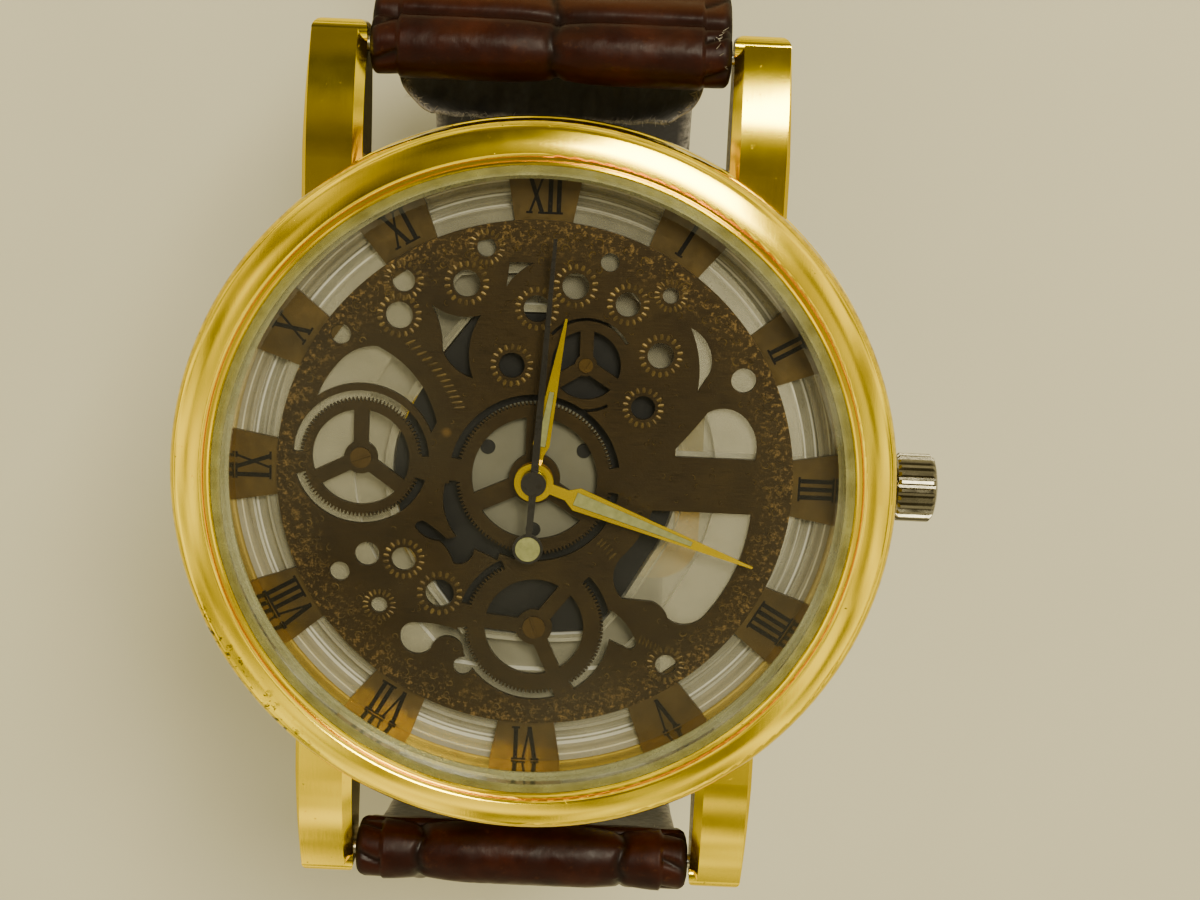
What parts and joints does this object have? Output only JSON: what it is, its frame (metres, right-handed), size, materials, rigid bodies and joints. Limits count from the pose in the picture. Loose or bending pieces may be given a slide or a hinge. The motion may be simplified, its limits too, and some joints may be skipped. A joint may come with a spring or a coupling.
{
  "type": "skeleton wristwatch",
  "caption": "Round gold-cased wristwatch with a pierced skeleton dial, Roman numerals, a glazed back and a crocodile-embossed leather strap curled below it.",
  "frame": {"origin": "centre of the case back's outer face, on the hands' axis", "axes": "+Z out of the dial, +Y towards 12 o'clock, +X towards the crown"},
  "size_m": [0.0433, 0.0688, 0.0496],
  "materials": {
    "gold_plate": "polished gold plating, worn at the edges",
    "steel": "polished steel",
    "crystal_glass": "clear flat glass",
    "gasket_clear": "translucent pale plastic",
    "clear_acrylic": "milky clear moulding",
    "rubber_black": "matt rubber",
    "bronze_plate": "dark bronze, brushed and engraved",
    "ochre_plate": "satin ochre gold",
    "black_ink": "printed ink",
    "screw_bronze": "turned brass",
    "hand_gold": "polished gold",
    "hand_black": "black lacquer",
    "lume": "matt luminous paint",
    "black_plastic": "moulded plastic",
    "white_plastic": "moulded plastic",
    "train_brass": "machined brass",
    "train_steel": "ground steel",
    "magnet": "sintered magnet",
    "soft_iron": "annealed iron",
    "copper_wire": "enamelled copper winding",
    "circuit_green": "circuit laminate",
    "chip_epoxy": "epoxy",
    "leather_brown": "glossy crocodile-embossed leather",
    "leather_lining": "matt black lining"
  },
  "bodies": {
    "case": {"mid_case": "gold_plate", "bezel": "gold_plate", "crystal": "crystal_glass", "crystal_gasket": "gasket_clear", "rehaut_ring": "gold_plate", "caseback_ring": "steel", "caseback_glass": "crystal_glass", "caseback_gasket": "rubber_black", "skeleton_plate": "bronze_plate", "chapter_ring": "ochre_plate", "roman_numerals": "black_ink", "dial_screws": "screw_bronze", "centre_disc": "white_plastic", "main_plate": "black_plastic", "train_bridge": "train_steel", "movement_screws": "steel", "stator": "soft_iron", "coil_core": "soft_iron", "coil": "copper_wire", "circuit_board": "circuit_green", "timing_chip": "chip_epoxy", "quartz_can": "steel", "battery": "steel", "battery_clamp": "train_steel", "movement_holder": "clear_acrylic", "crown_tube": "steel", "spring_bars": "steel"},
    "seconds": {"seconds_wheel": "train_brass", "second_hand": "hand_black", "second_lume": "lume"},
    "minutes": {"centre_wheel": "train_brass", "cannon_pinion": "train_steel", "minute_hand": "hand_gold", "minute_lume": "lume"},
    "hours": {"hour_wheel": "train_brass", "hour_hand": "hand_gold", "hour_lume": "lume"},
    "rotor": {"rotor_pinion": "train_steel", "rotor_magnet": "magnet"},
    "intermediate": {"intermediate_wheel": "train_brass"},
    "third": {"third_wheel": "train_brass"},
    "minute_work": {"minute_wheel": "train_brass"},
    "clutch": {"sliding_pinion": "train_steel"},
    "crown": {"crown": "steel", "stem": "train_steel", "crown_o_ring": "rubber_black"},
    "lever": {"setting_lever": "train_steel"},
    "strap_12": {"strap_12_leather": "leather_brown", "strap_12_lining": "leather_lining", "fixed_keeper": "leather_brown"},
    "keeper": {"sliding_keeper": "leather_brown"},
    "buckle": {"buckle_frame": "gold_plate", "buckle_bar": "steel"},
    "tang": {"buckle_tang": "gold_plate"},
    "strap_6": {"strap_6_leather": "leather_brown", "strap_6_lining": "leather_lining"},
    "plunger_12_left": {"plunger_12_left": "steel"},
    "plunger_12_right": {"plunger_12_right": "steel"},
    "plunger_6_left": {"plunger_6_left": "steel"},
    "plunger_6_right": {"plunger_6_right": "steel"}
  },
  "joints": [
    {"name": "seconds_turn", "type": "hinge", "parent": "case", "child": "seconds", "pos_m": [0, 0, 0.003], "axis": [0, 0, -1], "continuous": true},
    {"name": "minutes_turn", "type": "hinge", "parent": "case", "child": "minutes", "pos_m": [0, 0, 0.003], "axis": [0, 0, -1], "continuous": true},
    {"name": "hours_turn", "type": "hinge", "parent": "case", "child": "hours", "pos_m": [0, 0, 0.003], "axis": [0, 0, -1], "continuous": true},
    {"name": "rotor_turn", "type": "hinge", "parent": "case", "child": "rotor", "pos_m": [-0.00261, 0.00347, 0.003], "axis": [0, 0, -1], "continuous": true},
    {"name": "intermediate_turn", "type": "hinge", "parent": "case", "child": "intermediate", "pos_m": [-0.00186, 0.00186, 0.003], "axis": [0, 0, -1], "continuous": true},
    {"name": "third_turn", "type": "hinge", "parent": "case", "child": "third", "pos_m": [0.0018, 0.0018, 0.003], "axis": [0, 0, -1], "continuous": true},
    {"name": "minute_wheel_turn", "type": "hinge", "parent": "case", "child": "minute_work", "pos_m": [0.00208, -0.0012, 0.003], "axis": [0, 0, -1], "continuous": true},
    {"name": "crown_turn", "type": "hinge", "parent": "case", "child": "clutch", "pos_m": [0.0052, 0, 0.0034], "axis": [1, 0, 0], "continuous": true},
    {"name": "crown_pull", "type": "slide", "parent": "clutch", "child": "crown", "axis": [1, 0, 0], "range_m": [0, 0.0009]},
    {"name": "setting_lever_swing", "type": "hinge", "parent": "case", "child": "lever", "pos_m": [0.00705, -0.0022, 0.002], "axis": [0, 0, 1], "range_deg": [-23.5, 0]},
    {"name": "strap_6_swing", "type": "hinge", "parent": "case", "child": "strap_6", "pos_m": [0, -0.02375, 0.0032], "axis": [-1, 0, 0], "range_deg": [0, 80]},
    {"name": "strap_12_swing", "type": "hinge", "parent": "case", "child": "strap_12", "pos_m": [0, 0.02375, 0.0032], "axis": [1, 0, 0], "range_deg": [0, 40]},
    {"name": "buckle_swing", "type": "hinge", "parent": "strap_12", "child": "buckle", "pos_m": [0, -0.00361, -0.02891], "axis": [-1, 0, 0], "range_deg": [-30, 90]},
    {"name": "tang_swing", "type": "hinge", "parent": "buckle", "child": "tang", "pos_m": [0, -0.00361, -0.02891], "axis": [1, 0, 0], "range_deg": [0, 35]},
    {"name": "keeper_slide", "type": "slide", "parent": "strap_12", "child": "keeper", "axis": [0, 1, 0], "range_m": [-0.0017, 0.0017]},
    {"name": "plunger_12_left_push", "type": "slide", "parent": "case", "child": "plunger_12_left", "axis": [1, 0, 0], "range_m": [0, 0.0008], "stiffness_N_per_m": 300, "springref_m": -0.0005},
    {"name": "plunger_12_right_push", "type": "slide", "parent": "case", "child": "plunger_12_right", "axis": [-1, 0, 0], "range_m": [0, 0.0008], "stiffness_N_per_m": 300, "springref_m": -0.0005},
    {"name": "plunger_6_left_push", "type": "slide", "parent": "case", "child": "plunger_6_left", "axis": [1, 0, 0], "range_m": [0, 0.0008], "stiffness_N_per_m": 300, "springref_m": -0.0005},
    {"name": "plunger_6_right_push", "type": "slide", "parent": "case", "child": "plunger_6_right", "axis": [-1, 0, 0], "range_m": [0, 0.0008], "stiffness_N_per_m": 300, "springref_m": -0.0005}
  ],
  "couplings": [
    {"joint": "minutes_turn", "follows": "seconds_turn", "ratio": 0.016667},
    {"joint": "hours_turn", "follows": "seconds_turn", "ratio": 0.0013889},
    {"joint": "third_turn", "follows": "seconds_turn", "ratio": -0.13333},
    {"joint": "intermediate_turn", "follows": "seconds_turn", "ratio": -4},
    {"joint": "rotor_turn", "follows": "seconds_turn", "ratio": 30},
    {"joint": "minute_wheel_turn", "follows": "seconds_turn", "ratio": -0.0055556},
    {"joint": "setting_lever_swing", "follows": "crown_pull", "rad_per_m": -448},
    {"joint": "strap_12_swing", "follows": "strap_6_swing", "ratio": 0.5}
  ]
}
